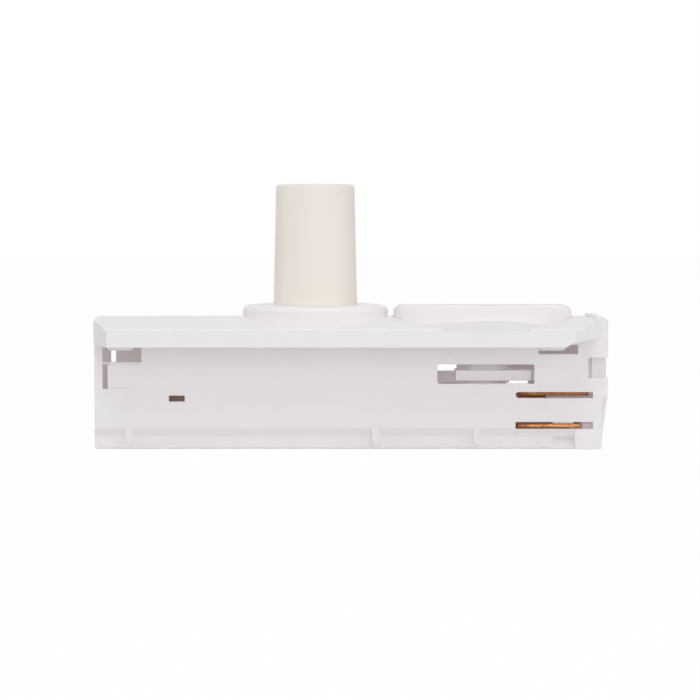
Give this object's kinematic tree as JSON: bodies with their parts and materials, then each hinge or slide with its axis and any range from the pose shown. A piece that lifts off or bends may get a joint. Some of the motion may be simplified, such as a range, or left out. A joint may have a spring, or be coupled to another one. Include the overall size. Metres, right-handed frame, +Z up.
{
  "type": "track light adapter",
  "caption": "White track light adapter: slim body for a lighting track, crowned cover with an ivory lamp spigot, and a turning knob that swings out lock wings and pushes out copper contacts.",
  "frame": {"origin": "centre of the bounding box on the bottom face of the body", "axes": "+Z up out of the track along the spigot, +X along the body toward the contact end, +Y to the rear side"},
  "size_m": [0.1, 0.0354, 0.0517],
  "materials": {
    "white_plastic": "satin moulded white",
    "ivory_plastic": "satin moulded ivory",
    "inner_plastic": "matt moulded white",
    "copper": "sheared copper alloy",
    "brass": "turned brass",
    "steel": "zinc plated steel"
  },
  "bodies": {
    "housing": {"body_shell": "white_plastic", "cover_plate": "white_plastic", "spigot": "ivory_plastic", "spigot_washer": "steel", "spigot_nut": "steel", "detent_spring": "steel", "terminal_carrier": "inner_plastic", "neutral_terminal": "brass", "live_terminal": "brass", "terminal_screws": "steel", "neutral_strip": "copper", "live_strip": "copper"},
    "turn_lock": {"knob": "white_plastic", "knob_clip": "steel", "lock_rotor": "inner_plastic", "cam_disc": "inner_plastic"},
    "front_contact": {"front_slide": "inner_plastic", "front_blade": "copper"},
    "rear_contact": {"rear_slide": "inner_plastic", "rear_blade": "copper"}
  },
  "joints": [
    {"name": "knob_turn", "type": "hinge", "parent": "housing", "child": "turn_lock", "pos_m": [0.0259, 0, 0], "axis": [0, 0, -1], "range_deg": [0, 90]},
    {"name": "front_push", "type": "slide", "parent": "housing", "child": "front_contact", "axis": [0, -1, 0], "range_m": [0, 0.003]},
    {"name": "rear_push", "type": "slide", "parent": "housing", "child": "rear_contact", "axis": [0, 1, 0], "range_m": [0, 0.003]}
  ],
  "couplings": [
    {"joint": "front_push", "follows": "knob_turn", "m_per_rad": 0.0019098},
    {"joint": "rear_push", "follows": "knob_turn", "m_per_rad": 0.0019098}
  ]
}
